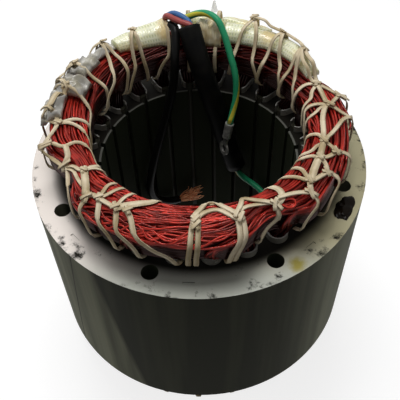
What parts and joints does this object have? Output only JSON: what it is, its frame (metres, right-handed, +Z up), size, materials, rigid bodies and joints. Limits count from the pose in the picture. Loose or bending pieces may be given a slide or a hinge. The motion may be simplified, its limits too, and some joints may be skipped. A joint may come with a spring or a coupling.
{
  "type": "generator stator",
  "caption": "Round slotted steel stator core with laced enamelled-copper end turns, yoke bolt holes, glass-fibre joint sleeves and loose leads put away in the rotor bore.",
  "frame": {"origin": "on the rotor axis, at the floor under the lower end turns", "axes": "+Z up along the rotor axis towards the lead end; -Y towards the viewer of the picture; +X to the viewer's right"},
  "size_m": [0.19, 0.19, 0.2026],
  "materials": {
    "electrical_steel": "oiled lamination edges, bare punched faces",
    "slot_liner": "translucent insulating film",
    "slot_wedge": "varnished fibre",
    "enamelled_copper": "dark red enamelled winding wire",
    "lacing_tape": "flat woven polyester lacing tape, varnished",
    "glass_sleeve": "varnished braided glass fibre",
    "joint_wrap": "crumpled insulating film",
    "black_sleeve": "black flexible tubing",
    "red_insulation": "red lead insulation",
    "blue_insulation": "blue lead insulation",
    "green_insulation": "green and yellow earth insulation",
    "bare_copper": "bare stranded copper",
    "tinned_copper": "tinned crimp terminal"
  },
  "bodies": {
    "root": {"lamination_stack": "electrical_steel", "slot_liners": "slot_liner", "slot_wedges": "slot_wedge", "coil_01": "enamelled_copper", "coil_02": "enamelled_copper", "coil_03": "enamelled_copper", "coil_04": "enamelled_copper", "coil_05": "enamelled_copper", "coil_06": "enamelled_copper", "coil_07": "enamelled_copper", "coil_08": "enamelled_copper", "coil_09": "enamelled_copper", "coil_10": "enamelled_copper", "coil_11": "enamelled_copper", "coil_12": "enamelled_copper", "upper_lacing": "lacing_tape", "lower_lacing": "lacing_tape", "lacing_run": "lacing_tape", "glass_sleeve_left": "glass_sleeve", "glass_sleeve_right": "glass_sleeve", "glass_sleeve_back": "glass_sleeve", "joint_wrap_1": "joint_wrap", "joint_wrap_2": "joint_wrap", "joint_wrap_3": "joint_wrap", "joint_wrap_4": "joint_wrap", "joint_bundle": "glass_sleeve", "sleeve_tip": "joint_wrap", "lead_sleeve": "black_sleeve", "red_lead": "red_insulation", "blue_lead": "blue_insulation", "black_lead": "black_sleeve", "black_lead_strands": "bare_copper", "earth_lead": "green_insulation", "earth_terminal": "tinned_copper", "wall_lead": "green_insulation"}
  },
  "joints": []
}
